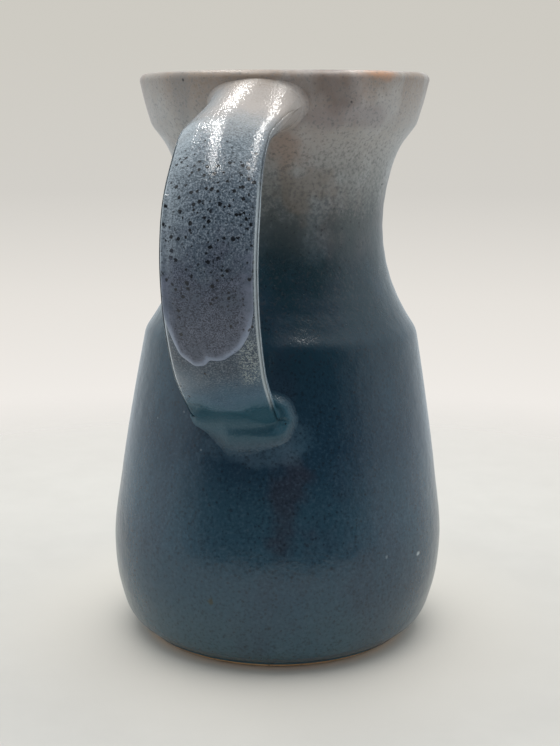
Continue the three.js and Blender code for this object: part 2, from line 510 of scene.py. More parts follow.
# %% Thrown body
UNDER_GLAZE = 0.9 * MM

under = np.array([(0, 0.35), (12, 0.35), (24, 0.33), (34, 0.25), (39, 0.08), (42, 0.0), (45.5, 0.0)]) * MM
under = even_line(smooth_line(under, 1 * MM), 1.5 * MM)
under[0, 0] = 0
foot_edge = np.array([(46.8, 0.05), (48.4, 0.45), (49.3, 1.3), (49.7, 2.2)]) * MM
foot_edge = smooth_line(foot_edge, 0.3 * MM)
sunk_outside = (outline - UNDER_GLAZE * normals_of(outline))[8:-1:6]
inner_clay = inside_line(FLOOR + FLOOR_CORNER, 201 * MM, UNDER_GLAZE)[::3]
clay_loop = np.vstack([
    under, foot_edge, sunk_outside, lip_line(UNDER_GLAZE)[1:-1], inner_clay, floor_line(UNDER_GLAZE)
])


def wire_marks(height, angle, row):
    reach = clay_loop[row, 0]
    across = reach * np.cos(angle) / MM
    along = reach * np.sin(angle) / MM
    wave = np.sin(2 * np.pi * (across + 0.006 * along**2) / 3.1 + 0.5 * np.sin(along / 9))
    fade = smoothstep(reach, 44 * MM, 38 * MM)
    return np.where(row < len(under), -0.09 * MM * (1 + wave) * fade, 0)


thrown_body = turned("clay_body", clay_loop, wire_marks, pole=True)
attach(thrown_body, "root")
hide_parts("thrown_body")

# %% [markdown]
# ## The strap handle
# A strap is pulled from a lump of clay by wet hands, which gives it a long even taper and a section
# like a flattened oval, fuller on the outer face and with soft edges. It is bent into shape and
# pressed on at both ends. Its middle line is a few points seen from the side.

# %% Strap route
STRAP_ROUTE = [  # distance from the pot's axis and height of its middle line
    (45, 198), (58, 191.4), (77, 184.4), (91.6, 172.6), (98.5, 152.3), (94.8, 134.6), (80.6, 112),
    (66.1, 99.7), (49, 86.5),
]
STRAP_WIDTH = 29.8 * MM
STRAP_THICK = 7 * MM
STRAP_ASIDE = [  # distance along the strap, and how far its middle stands to +X there
    (0, 2.6), (8, 1.5), (15, -0.4), (24, -1.6), (34, -1.8), (50, -1.1), (75, -1.2), (93, -1.8),
    (112, -2.4), (126, -3.1), (140, -3.5), (161, -3.6),
]
STRAP_TAPER = [(0, 0.93), (18, 0.965), (30, 0.95), (48, 0.95), (64, 1.0), (161, 1.0)]  # share of its width

route = rubbed(even_line(smooth_line(np.array(STRAP_ROUTE) * MM, 0.5 * MM), 0.5 * MM), 6)
route_length = walked_along(route)
route_normal = -normals_of(route)
STRAP_LENGTH = route_length[-1]


def eased(table):
    """The numbers of a short table at every point of the route, with its corners rounded."""
    return rubbed(np.interp(route_length / MM, *zip(*table)), 60)


route_aside, route_taper = eased(STRAP_ASIDE) * MM, eased(STRAP_TAPER)
print("strap length, mm:", round(STRAP_LENGTH / MM, 1))


def strap_frame(along):
    """The strap's middle and its outward direction at a distance along it. It was set on upright."""
    reach, height = (np.interp(along, route_length, route[:, k]) for k in (0, 1))
    out, up = (np.interp(along, route_length, route_normal[:, k]) for k in (0, 1))
    size = np.hypot(out, up)
    aside_x = np.interp(along, route_length, route_aside) - LEAN * height * to_right.x
    aside_y = -LEAN * height * to_right.y
    middle = np.stack([aside_x, aside_y - reach, height], -1)
    return middle, np.stack([0 * size, -out / size, up / size], -1)

# %% [markdown]
# The section is a flat bar with soft corners. Its outer face is nearly flat in the middle and turns
# down towards both edges, where the potter's fingers held it; its inner face is flat. The section is
# drawn once as a closed line, and its points are spaced evenly so that the corners stay round.

# %% Strap section
LINES = 88


def face_drop(across):
    """How far the outer face lies below its middle, with across from -1 to 1."""
    edge = np.abs(across)
    return MM * (1.9 * (1 - np.exp(-(across / 0.62) ** 2)) + 0.6 * smoothstep(edge, 0.6, 1.05))


def even_closed(line, count):
    """Points spaced evenly along a line that closes on itself."""
    closed = np.vstack([line, line[:1]])
    length = walked_along(closed)
    at = np.arange(count) / count * length[-1]
    return np.column_stack([np.interp(at, length, closed[:, k]) for k in (0, 1)])


SIDE_POWER, FACE_POWER = 0.42, 0.5  # 1 would be an oval; the smaller, the squarer the bar
turn = np.linspace(0, 2 * np.pi, 2000, endpoint=False)
c, s = np.cos(turn), np.sin(turn)
lateral = np.sign(c) * np.abs(c) ** SIDE_POWER * STRAP_WIDTH / 2
lift = np.sign(s) * np.abs(s) ** FACE_POWER * STRAP_THICK / 2
lift = lift - np.where(s > 0, face_drop(lateral / (STRAP_WIDTH / 2)), 0)
section = even_closed(np.column_stack([lateral, lift]), LINES)
around = np.arctan2(section[:, 1] / STRAP_THICK, section[:, 0] / STRAP_WIDTH)

ROOT_DEEPER = 3.8 * MM  # the strap is that much thicker underneath at its root
PULL_LINES = 0.05 * MM  # the height of the lines that the pulling hand left


def strap_point(along, across, lift, sunk=0.0):
    """A point of the strap, from its distance along and its place in the section; sunk is below the skin."""
    middle, outward = strap_frame(along)
    sideways = across * np.interp(along, route_length, route_taper) * (1 - 2 * sunk / STRAP_WIDTH)
    root = ROOT_DEEPER * smoothstep(along, 42 * MM, 6 * MM) * smoothstep(-lift, 0, STRAP_THICK / 2)
    pulled = PULL_LINES * np.sin(across / (1.9 * MM) + along / (31 * MM)) * (lift > 0)
    up = lift * (1 - 2 * sunk / STRAP_THICK) - root + pulled
    return middle + np.stack([sideways, 0 * sideways, 0 * sideways], -1) + outward * up[..., None]


def strap_lines(along, sunk=0.0):
    return strap_point(along, section[:, 0], section[:, 1], sunk)

# %% [markdown]
# ## Where the strap meets the pot
# A strap is luted on: the potter scores both faces, presses them together over a coil of soft clay
# and smears the coil into the wall. On the surface there is no seam, only a hollow curve between
# strap and wall. For each line that runs along the strap, the place where it dives into the wall is
# found first. The skin then leaves the line a little before that place and lands on the wall a little
# beyond it, on a curve that is tangent to both.

# %% Footprints of the strap on the wall
def clear_of_wall(points):
    """How far outside the wall each point is, in metres; negative inside."""
    angle = np.arctan2(points[..., 0], points[..., 1])
    height = points[..., 2]
    return np.hypot(points[..., 0], points[..., 1]) - outside_radius(height) - wobble(height, angle)


def meeting_places(upper):
    """The distance along each line at which it meets the wall, at the strap's upper or lower end."""
    steps = np.linspace(0, 0.4 * STRAP_LENGTH, 700)
    steps = steps if upper else STRAP_LENGTH - steps
    outside = clear_of_wall(strap_lines(steps[:, None] + 0 * around)) > 0
    first = outside.shape[0] - np.argmin(outside[::-1], axis=0)
    return steps[np.clip(first, 0, len(steps) - 1)]


def footprint(upper):
    """Meeting places, and their angle and height on the wall with the outward direction there."""
    along = meeting_places(upper)
    points = strap_lines(along)
    angle, height = np.arctan2(points[:, 0], points[:, 1]) % (2 * np.pi), points[:, 2]
    radius = outside_radius(height)
    flat = rubbed_ring(np.column_stack([(angle - np.pi) * radius, height]), 3)
    turn = rubbed_ring(np.roll(flat, -2, 0) - np.roll(flat, 2, 0), 8)
    away = np.column_stack([turn[:, 1], -turn[:, 0]])
    away /= np.linalg.norm(away, axis=1)[:, None]
    if np.sum(away * (flat - flat.mean(0))) < 0:
        away = -away
    return along, points, angle, height, radius, away


for upper in (True, False):
    feet = footprint(upper)[1] / MM
    print("strap", "root" if upper else "end", "on the wall, mm:", feet.min(0).round(1), feet.max(0).round(1))

# %% [markdown]
# The skirt's size changes around the strap. At the collar it is long underneath, where the thumb
# pushed clay up against the strap, and it sweeps softly up to the rim above. At the belly the outer
# face turns under in a soft crease and hollows out, and a roll of clay stands beyond the strap's
# edge on one side and below, with a groove between the two.

# %% Skirts
def around_weight(centre, width):
    """1 where the line lies at the centre angle of the section, falling to 0 at width degrees off."""
    off = np.degrees((around - np.radians(centre) + np.pi) % (2 * np.pi) - np.pi)
    return 1 - smoothstep(np.abs(off), 0.25 * width, width)


right, outer, left, inner = 0, 90, 180, 270  # degrees around the section
# In mm: how far before the wall the skirt leaves the strap, how far beyond it lands, how far its crease
# is raised and pinched sideways, and the roll of clay with its place and its half width.
SKIRT = {
    "upper": dict(
        before=(
            4.0 + 5.0 * around_weight(right, 70) + 9.0 * around_weight(inner, 80)
            + 9 * around_weight(outer, 80) + 4.0 * around_weight(left, 60)
        ),
        beyond=(
            2.6 + 2.6 * around_weight(right, 70) + 4.6 * around_weight(inner, 80)
            + 2.2 * around_weight(left, 60) + 1.0 * around_weight(outer, 70)
        ),
        raised=2.6 * around_weight(outer, 85),
        pinch=0.0 * around,
        roll=0.0 * around, roll_at=1.5, roll_half=2.0,
    ),
    "lower": dict(
        before=(
            2.0 + 2.5 * around_weight(left, 50) + 3.0 * around_weight(inner, 80)
            + 12.5 * around_weight(outer + 12, 80)
        ),
        beyond=8.0 - 3.6 * around_weight(left, 70) + 2.0 * around_weight(outer, 60),
        raised=5.5 * around_weight(outer + 8, 75),
        pinch=4.5 * around_weight(outer + 55, 60),
        roll=(
            1.9 * around_weight(right - 5, 75) + 1.2 * around_weight(outer - 30, 60)
            + 0.5 * around_weight(outer + 20, 50)
        ),
        roll_at=3.1, roll_half=2.5,
    ),
}

# %% [markdown]
# Each line of the skirt is a curve with three handles: its start on the strap, the meeting place on
# the wall, raised and pinched, and its landing on the wall. The roll of clay is laid over that curve.

# %% Skirt curve
SKIRT_ROWS = 30
SKIRT_TOP = 203 * MM


def skirt(upper, sunk=0.0):
    """Rows of points from the strap to the wall, with the strap distance at which they begin."""
    shape = SKIRT["upper" if upper else "lower"]
    along, meet, angle, height, radius, away = footprint(upper)
    before, beyond, raised, pinch, roll = (
        rubbed_ring(shape[key], 12) * MM for key in ("before", "beyond", "raised", "pinch", "roll")
    )
    start_along = along + before * (1 if upper else -1)
    start = strap_lines(start_along, sunk)
    angle = angle - pinch / radius
    far_angle = angle + away[:, 0] * beyond / radius
    far_height = np.clip(height + away[:, 1] * beyond, 0, SKIRT_TOP)
    tilt = (outside_radius(far_height + MM) - outside_radius(far_height - MM)) / (2 * MM)
    into_wall = 0.12 * MM + sunk
    end = bend(outside_radius(far_height) - into_wall * np.sqrt(1 + tilt**2), far_height, far_angle)
    outward = np.column_stack([np.sin(angle), np.cos(angle), 0 * angle])
    middle = meet - outward * sunk + np.column_stack([pinch, 0 * pinch, raised])
    rows = []
    for t in np.linspace(0, 1, SKIRT_ROWS):
        place = (1 - t) ** 2 * start + 2 * t * (1 - t) * middle + t**2 * end
        walked = (beyond * t**2 - before * (1 - t) ** 2) / MM
        roll_here = roll * np.exp(-((walked - shape["roll_at"]) / shape["roll_half"]) ** 2)
        lumpy = 1 + 0.12 * np.sin(4 * around + 1.2) + 0.06 * np.sin(7 * around)
        place = place + outward * (roll_here * smoothstep(t, 1, 0.9) * lumpy)[:, None]
        if upper:
            place = rubbed_ring(place, round(14 * smoothstep(t, 0.1, 0.7)))
        rows.append(place)
    return np.array(rows), start_along

# %% [markdown]
# ## The coat on the handle
# The coat is one skin from the collar over the strap to the belly: the upper skirt, the strap and the
# lower skirt, row after row, with the two places where they meet rubbed smooth. Its hidden side is
# the same skin, sunk by the thickness of the glaze. Each point keeps how far along and across the
# strap it lies, so that the glaze's colours can follow the strap.

# %% Handle glaze
STRAP_ROWS = 180


def eased_rows(rows, middle, reach, strokes):
    """The rows near one of them rubbed smooth along the strap, as a wet finger would."""
    rubbed = smoothstep(np.abs(np.arange(len(rows)) - middle), reach, 0.3 * reach)[1:-1, None, None]
    for stroke in range(strokes):
        rows[1:-1] += rubbed * (rows[:-2] - 2 * rows[1:-1] + rows[2:]) / 4
    return rows


def handle_skin(sunk=0.0):
    """Rows from the wall at the collar, down the strap, to the wall at the belly, and their values."""
    top_rows, top_along = skirt(True, sunk)
    end_rows, end_along = skirt(False, sunk)
    share = np.linspace(0, 1, STRAP_ROWS)[1:-1, None]
    along = top_along * (1 - share) + end_along * share
    rows = np.concatenate([top_rows[::-1], strap_lines(along, sunk), end_rows])
    rows = eased_rows(rows, SKIRT_ROWS, 24, 140)
    rows = eased_rows(rows, SKIRT_ROWS + len(along), 5, 8)
    hold = np.linspace(0, 1, SKIRT_ROWS)[:, None]
    distance = np.concatenate([
        top_along - (1 - hold) * SKIRT["upper"]["before"] * MM, along,
        end_along + hold * SKIRT["lower"]["before"] * MM,
    ])
    rise = smoothstep(hold, 0.0, 0.75) * np.ones(LINES)
    on_strap = np.concatenate([rise, np.ones_like(along), smoothstep(hold, 1.0, 0.6) * np.ones(LINES)])
    return rows, distance, on_strap


outside_rows, distance, on_strap = handle_skin()
inside_rows = handle_skin(GLAZE)[0][::-1]
rows = np.concatenate([outside_rows, inside_rows])
faces = grid_faces(len(rows), LINES, wrap_rows=True)


def both_skins(grid):
    """Values for the seen side of a coat, given to its hidden side too."""
    return np.concatenate([grid, grid[::-1]])


values = {
    "along": both_skins(distance) / MM,
    "across": both_skins(0 * distance + section[:, 0] / (STRAP_WIDTH / 2)),
    "face": both_skins(0 * distance + section[:, 1] / (STRAP_THICK / 2)),
    "on_strap": both_skins(on_strap),
}
handle_glaze = mesh_object("glaze_handle", lean(rows).reshape(-1, 3), faces, values)
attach(handle_glaze, "root")
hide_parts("handle_glaze")

# %% [markdown]
# Under the glass are the strap itself, a closed bar whose ends are pressed into the wall, and a band
# of coil clay round each end. None of this clay shows.

# %% Strap and coils of clay
def clay_strap():
    rows = handle_skin(UNDER_GLAZE)[0][::2]
    faces = grid_faces(len(rows), LINES)
    faces.append(tuple(range(LINES))[::-1])
    faces.append(tuple((len(rows) - 1) * LINES + j for j in range(LINES)))
    return mesh_object("clay_strap", lean(rows).reshape(-1, 3), faces)


def clay_coil(name, upper):
    seen = skirt(upper, UNDER_GLAZE)[0][::3]
    deep = skirt(upper, UNDER_GLAZE + 0.9 * MM)[0][::3][::-1]
    rows = np.concatenate([seen, deep])
    return mesh_object(name, lean(rows).reshape(-1, 3), grid_faces(len(rows), LINES, wrap_rows=True))


for piece, node in (
    (clay_strap(), "strap_handle"),
    (clay_coil("clay_coil_upper", True), "upper_luting_coil"),
    (clay_coil("clay_coil_lower", False), "lower_luting_coil"),
):
    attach(piece, "root")
    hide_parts(node)

# %% [markdown]
# ## The run on the handle
# The handle's back caught a second pour. Where glaze lies thick it runs as it melts, gathers in
# lobes and stops in a rounded edge. The run is a thin patch on the strap's outer face. Its top thins
# out into the coat below it, and its lower edge is a line of lobes with a notch between the longest
# two.

# %% Glaze run
RUN_EDGE = [  # place across the strap from -1 to 1, and distance along it
    (-1.0, 88), (-0.93, 99), (-0.83, 105.5), (-0.71, 111), (-0.4, 114.7), (-0.17, 113.8), (-0.04, 111),
    (0.08, 111.6), (0.25, 111.2), (0.45, 109), (0.62, 107), (0.8, 102.5), (0.87, 99), (0.93, 93),
]
RUN_TOP = 60 * MM
RUN_THICK = 0.55 * MM
RUN_LEFT, RUN_RIGHT = -0.95, 0.92
RUN_ROWS, RUN_COLUMNS = 120, 110

column = np.linspace(0, 1, RUN_COLUMNS)
across_run = RUN_LEFT + (RUN_RIGHT - RUN_LEFT) * column
lower = rubbed(np.interp(across_run, *zip(*RUN_EDGE)) * MM, 8)
share = np.linspace(0, 1, RUN_ROWS)[:, None]
along_run = RUN_TOP + (lower - RUN_TOP) * share
edge_gap = np.minimum(column, 1 - column)[None, :] * (RUN_RIGHT - RUN_LEFT) * STRAP_WIDTH / 2
slope = np.gradient(lower, across_run * STRAP_WIDTH / 2)
foot_gap = (lower - along_run) / np.sqrt(1 + slope**2)
gap = np.minimum(edge_gap, foot_gap)
round_edge = np.sqrt(np.clip(1 - (1 - np.clip(gap / (1.5 * MM), 0, 1)) ** 2, 0, 1))
thin_top = smoothstep(along_run, RUN_TOP, RUN_TOP + 24 * MM)
gather = 0.7 + 0.5 * smoothstep(foot_gap, 8 * MM, 1.5 * MM)
thickness = RUN_THICK * round_edge * thin_top * gather - 0.1 * MM
face_points = section[(around > np.radians(15)) & (around < np.radians(165))]
order = np.argsort(face_points[:, 0])
across_all = np.broadcast_to(across_run, along_run.shape)
lateral = across_all * STRAP_WIDTH / 2
face_lift = np.interp(lateral, face_points[order, 0], face_points[order, 1])
base, outward = strap_point(along_run, lateral, face_lift), strap_frame(along_run)[1]
run_face = base + outward * thickness[..., None]
run_back = base - outward * (0.35 * MM)
run_faces = grid_faces(2 * RUN_ROWS, RUN_COLUMNS, wrap_rows=True, wrap_columns=False)
for i in range(RUN_ROWS - 1):
    for j in (0, RUN_COLUMNS - 1):
        front, back = i * RUN_COLUMNS + j, (2 * RUN_ROWS - 1 - i) * RUN_COLUMNS + j
        side = (front, front + RUN_COLUMNS, back - RUN_COLUMNS, back)
        run_faces.append(side if j == 0 else side[::-1])
values = {
    "along": both_skins(along_run) / MM,
    "across": both_skins(across_all),
    "face": both_skins(0 * along_run + 1),
    "edge": both_skins(gap) / MM,
}
run_points = lean(np.concatenate([run_face, run_back[::-1]])).reshape(-1, 3)
glaze_run = mesh_object("glaze_second_run", run_points, run_faces, values)
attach(glaze_run, "root")
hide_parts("glaze_run")

# %% [markdown]
# ## Patterns shared by the glazes
# Three things repeat in every coat: soft clouds where the glass lies thicker or thinner, iron
# specks that bleed up from the clay, and a skin that is never quite flat. Each is a node group with
# named inputs, so that each glaze can set its own scale and strength.

# %% Clouds
cloud_group, cloud_in, cloud_out = new_group(
    "glaze clouds",
    [("Place", "Vector", (0, 0, 0)), ("Scale", "Float", 60.0), ("Upright stretch", "Float", 1.0),
     ("Detail", "Float", 4.0)],
    [("Cloud", "Float")],
)
shrink = math_node(cloud_group, "DIVIDE", 1.0, cloud_in.outputs["Upright stretch"])
squeeze = put(cloud_group, "ShaderNodeCombineXYZ", {"X": 1.0, "Y": 1.0, "Z": shrink})
stretched = vector_node(cloud_group, "MULTIPLY", cloud_in.outputs["Place"], squeeze.outputs[0])
cloud_noise = put(
    cloud_group, "ShaderNodeTexNoise",
    {"Vector": stretched, "Scale": cloud_in.outputs["Scale"], "Detail": cloud_in.outputs["Detail"],
     "Roughness": 0.6},
)
cloud = remap(cloud_group, cloud_noise.outputs["Fac"], 0.3, 0.7, smooth=False)
feed(cloud_group, cloud_out.inputs["Cloud"], cloud)

# %% [markdown]
# Specks are grains of iron in the clay that melt out into the glass. Cells of random size hold one
# speck each, luck decides which of them do, and a fine jitter makes their edges ragged.

# %% Specks
speck_group, speck_in, speck_out = new_group(
    "iron specks",
    [("Place", "Vector", (0, 0, 0)), ("Scale", "Float", 900.0), ("Size", "Float", 0.3),
     ("Share", "Float", 0.3)],
    [("Mask", "Float")],
)
speck_place = speck_in.outputs["Place"]
ragged = put(speck_group, "ShaderNodeTexNoise", {"Vector": speck_place, "Scale": 2200.0, "Detail": 2.0})
JITTER = 0.0009
jitter = vector_node(speck_group, "MULTIPLY", ragged.outputs["Color"], (JITTER, JITTER, JITTER))
moved = vector_node(speck_group, "ADD", speck_place, jitter)
cells = put(speck_group, "ShaderNodeTexVoronoi", {"Vector": moved, "Scale": speck_in.outputs["Scale"]})
luck = put(speck_group, "ShaderNodeSeparateColor", {"Color": cells.outputs["Color"]})
own_size = times(speck_group, speck_in.outputs["Size"], plus(speck_group, luck.outputs[1], 0.4))
inside_speck = math_node(speck_group, "SUBTRACT", own_size, cells.outputs["Distance"])
soft_speck = remap(speck_group, inside_speck, 0.0, 0.12)
chosen = math_node(speck_group, "LESS_THAN", luck.outputs[0], speck_in.outputs["Share"])
feed(speck_group, speck_out.inputs["Mask"], times(speck_group, soft_speck, chosen))

# %% [markdown]
# A patch is one place where the colour differs, such as a fleck, a burnt spot or a veil. It is an
# ellipsoid around a middle point, with an edge that noise makes ragged.

# %% Patches
patch_group, patch_in, patch_out = new_group(
    "hand-laid patch",
    [("Place", "Vector", (0, 0, 0)), ("Middle", "Vector", (0, 0, 0)), ("Reach", "Vector", (0.01, 0.01, 0.01)),
     ("Ragged", "Float", 0.4), ("Scale", "Float", 90.0)],
    [("Mask", "Float")],
)
from_middle = vector_node(patch_group, "SUBTRACT", patch_in.outputs["Place"], patch_in.outputs["Middle"])
in_reaches = vector_node(patch_group, "DIVIDE", from_middle, patch_in.outputs["Reach"])
how_far = put(patch_group, "ShaderNodeVectorMath", {0: in_reaches}, operation="LENGTH").outputs["Value"]
edge_noise = put(
    patch_group, "ShaderNodeTexNoise",
    {"Vector": patch_in.outputs["Place"], "Scale": patch_in.outputs["Scale"], "Detail": 4.0},
)
shifted_edge = math_node(patch_group, "SUBTRACT", edge_noise.outputs["Fac"], 0.5)
shifted_edge = times(patch_group, shifted_edge, patch_in.outputs["Ragged"])
shifted_edge = plus(patch_group, how_far, times(patch_group, shifted_edge, 4.0))
feed(patch_group, patch_out.inputs["Mask"], remap(patch_group, shifted_edge, 1.0, 0.35))

# %% [markdown]
# The skin of a glaze is never flat: it has a broad ripple, a fine grain and a few pinholes, where
# gas came out of the clay. These are too small to be modelled, so they are a height for a bump.

# %% Skin
skin_group, skin_in, skin_out = new_group(
    "glaze skin",
    [("Place", "Vector", (0, 0, 0)), ("Ripple", "Float", 0.5), ("Grain", "Float", 0.3),
     ("Pinholes", "Float", 0.2)],
    [("Height", "Float")],
)
skin_place = skin_in.outputs["Place"]
broad = put(skin_group, "ShaderNodeTexNoise", {"Vector": skin_place, "Scale": 170.0, "Detail": 3.0})
fine = put(skin_group, "ShaderNodeTexNoise", {"Vector": skin_place, "Scale": 1300.0, "Detail": 2.0})
holes = use_group(skin_group, speck_group, Place=skin_place, Scale=420.0, Size=0.16, Share=0.12)
raised = times(skin_group, broad.outputs["Fac"], skin_in.outputs["Ripple"])
raised = plus(skin_group, raised, times(skin_group, fine.outputs["Fac"], skin_in.outputs["Grain"]))
pits = times(skin_group, holes.outputs["Mask"], skin_in.outputs["Pinholes"])
feed(skin_group, skin_out.inputs["Height"], math_node(skin_group, "SUBTRACT", raised, pits))

# %% [markdown]
# The materials below all lay clouds, specks and a skin over a base colour, so each of these gets a
# short name here. Every pattern is fixed to the piece itself, in its own coordinates.

# %% Short names for the patterns
SKIN_DEPTH = 0.3 * MM
GLASS_IOR = 1.5


def object_place(tree):
    return tree.nodes.new("ShaderNodeTexCoord").outputs["Object"]


def clouds(tree, place, scale, stretch=1.0, detail=4.0):
    """Soft clouds from 0 to 1; stretch draws them out upwards."""
    node = use_group(tree, cloud_group, Place=place, Scale=scale, Upright_stretch=stretch, Detail=detail)
    return node.outputs["Cloud"]


def specks_in(tree, place, scale, size, share):
    """A mask of specks, with one in that share of the cells."""
    return use_group(tree, speck_group, Place=place, Scale=scale, Size=size, Share=share).outputs["Mask"]


def finish_surface(tree, shader, place, colour, roughness, depth=SKIN_DEPTH, **skin_amounts):
    """Gives a shader its colour, how matt it is, and an uneven skin."""
    skin = use_group(tree, skin_group, Place=place, **skin_amounts)
    bump = put(tree, "ShaderNodeBump", {"Height": skin.outputs["Height"], "Distance": depth, "Strength": 1.0})
    feed(tree, shader.inputs["Normal"], bump.outputs["Normal"])
    feed(tree, shader.inputs["Base Color"], colour)
    feed(tree, shader.inputs["Roughness"], roughness)
    shader.inputs["IOR"].default_value = GLASS_IOR

# %% [markdown]
# ## The coat outside
# The glaze is a blue-black glass where it pooled over the belly, and breaks to a warm grey where it
# lies thin and matt on the neck and the rim band, with the clay's tan just burning through at the
# lip. Its colour is first a ramp over the height. Clouds shift the ramp so that its bands are never
# level, then veils of mauve and of pale grey are laid over it, and specks last.

# %% Outer glaze colours and patches
HEIGHTS = [
    (0.0, rgb(60, 84, 92)), (0.05, rgb(52, 80, 92)), (0.16, rgb(44, 72, 88)), (0.29, rgb(34, 64, 80)),
    (0.38, rgb(20, 48, 66)), (0.56, rgb(20, 48, 62)), (0.69, rgb(26, 50, 58)), (0.765, rgb(76, 82, 82)),
    (0.825, rgb(132, 132, 128)), (0.9, rgb(168, 164, 159)), (0.96, rgb(158, 146, 136)),
    (1.0, rgb(140, 124, 110)),
]
PATCHES = [  # middle and reach in mm, raggedness, strength and colour of each
    ((-25, -44, 197), (6, 10, 13), 0.3, 0.25, rgb(96, 110, 118)),
    ((-38, -30, 196), (16, 16, 12), 0.3, 0.25, rgb(176, 178, 176)),
    ((40, -32, 205), (13, 13, 4.5), 0.3, 0.5, rgb(190, 128, 80)),
    ((28, -38, 190), (28, 24, 6), 0.35, 0.35, rgb(120, 106, 108)),
    ((21, -42, 199), (18, 12, 9), 0.35, 0.62, rgb(106, 90, 82)),
    ((12, -42, 180), (9, 14, 13), 0.5, 0.55, rgb(150, 120, 98)),
    ((16, -36, 166), (12, 16, 11), 0.6, 0.45, rgb(120, 104, 88)),
    ((15, -57, 64), (10, 16, 20), 0.5, 0.6, rgb(44, 42, 54)),
    ((3, -57, 80), (22, 12, 7), 0.45, 0.35, rgb(84, 108, 124)),
    ((16, -53, 85), (9, 12, 8), 0.4, 0.25, rgb(76, 104, 120)),
    ((-10.6, -61, 27.6), (1.5, 2.5, 1.6), 0.3, 0.8, rgb(58, 60, 40)),
    # painted highlight: this pale spot stands for the glint on a small blister in the glaze
    ((56.5, -25, 37.9), (1.0, 1.6, 1.0), 0.2, 0.6, rgb(196, 208, 212)),
    ((47, -40, 41), (0.6, 1.0, 0.9), 0.2, 0.3, rgb(160, 176, 184)),
    ((-34, -42, 86.6), (0.5, 1.0, 0.5), 0.2, 0.2, rgb(176, 188, 192)),
    ((-22.7, -49, 90.9), (0.5, 1.0, 0.5), 0.2, 0.2, rgb(176, 188, 192)),
    ((-15.4, -54, 79.2), (0.5, 1.0, 0.5), 0.2, 0.2, rgb(176, 188, 192)),
    ((-23.4, -44.3, 201.8), (0.6, 1.0, 0.7), 0.2, 0.9, rgb(24, 24, 26)),
    ((32, -40, 195), (0.6, 1.0, 0.6), 0.2, 0.9, rgb(24, 24, 26)),
    ((38.6, -8, 167), (1.0, 1.6, 0.6), 0.2, 0.9, rgb(24, 24, 26)),
]

# %% [markdown]
# The coat's colour is laid up in this order: the ramp, the mauve, the pale veil, the patches one after
# another, the fine mottling, and then specks and a few larger spots, which bleed less up on the matt
# glaze of the neck.

# %% Outer glaze colour, laid up
def outside_colour(tree, place):
    """The colour of the outer coat, and how matt it is."""
    axes = put(tree, "ShaderNodeSeparateXYZ", {0: place})
    slow = clouds(tree, place, 24.0, stretch=1.3)
    grain = clouds(tree, place, 900.0, detail=4.0)
    level = math_node(tree, "DIVIDE", axes.outputs["Z"], RIM_TOP)
    level = plus(tree, level, remap(tree, slow, 0, 1, -0.012, 0.012))
    level = plus(tree, level, remap(tree, grain, 0, 1, -0.018, 0.018))
    colour = ramp(tree, level, HEIGHTS)
    matt = remap(tree, level, 0.62, 0.8)
    mauve_cloud = clouds(tree, place, 30.0, stretch=1.8)
    mauve = remap(tree, mauve_cloud, 0.5, 0.9, 0, 0.35)
    mauve_colour = ramp(tree, level, [(0.68, rgb(44, 52, 68)), (0.84, rgb(172, 154, 146))])
    colour = blend_colour(tree, mauve, colour, mauve_colour)
    veil_cloud = clouds(tree, place, 48.0, stretch=1.5)
    veil = remap(tree, veil_cloud, 0.5, 0.9, 0, 0.3)
    veil_colour = ramp(tree, level, [(0.68, rgb(42, 74, 92)), (0.84, rgb(198, 200, 200))])
    colour = blend_colour(tree, veil, colour, veil_colour)
    for middle, reach, ragged, strength, paint in PATCHES:
        mask = use_group(
            tree, patch_group, Place=place, Middle=[v * MM for v in middle], Reach=[v * MM for v in reach],
            Ragged=ragged, Scale=90.0 if reach[0] > 2 else 900.0,
        ).outputs["Mask"]
        colour = paint_over(tree, colour, mask, strength, paint)
    dark_colour = ramp(tree, level, [(0.5, rgb(14, 28, 40)), (0.8, rgb(96, 96, 96))])
    colour = paint_over(tree, colour, remap(tree, grain, 0.5, 0.05), 0.5, dark_colour)
    low_down = remap(tree, level, 0.6, 0.3, 0.0, 0.22)
    colour = paint_over(tree, colour, remap(tree, grain, 0.5, 0.95), low_down, rgb(76, 102, 118))
    specks = specks_in(tree, place, 800.0, 0.36, 0.3)
    bleeds = grey_ramp(tree, level, [(0.72, 1.0), (0.86, 0.45)])
    specks = times(tree, specks, bleeds)
    colour = paint_over(tree, colour, specks, 0.45, rgb(16, 22, 30))
    spots = specks_in(tree, place, 150.0, 0.07, 0.05)
    spots = times(tree, spots, bleeds)
    colour = paint_over(tree, colour, spots, 0.8, rgb(12, 13, 16))
    return colour, matt

# %% [markdown]
# The glass over the belly shines softly and the thin dry glaze of the neck is half matt, so the
# roughness follows the same change over the height.

# %% Outer glaze material
def wall_roughness(tree, matt):
    return remap(tree, matt, 0, 1, 0.22, 0.42, smooth=False)


material, tree, shader = new_material("glaze outside")
place = object_place(tree)
colour, matt = outside_colour(tree, place)
roughness = wall_roughness(tree, matt)
finish_surface(tree, shader, place, colour, roughness, Ripple=0.9, Grain=0.16, Pinholes=0.2)
outer_glaze.data.materials.append(material)

# %% [markdown]
# ## The handle's colours
# The strap wears the same glaze, thinner on its back where a brush or a finger carried it, so it
# shows the clay's salt and pepper. Numbers stored on the mesh tell the material how far along the
# strap and how far across it a point is. Near the wall the colour goes over to that of the pot.

# %% Handle glaze colour
def mesh_value(tree, name):
    return put(tree, "ShaderNodeAttribute", attribute_name=name, attribute_type="GEOMETRY").outputs["Fac"]


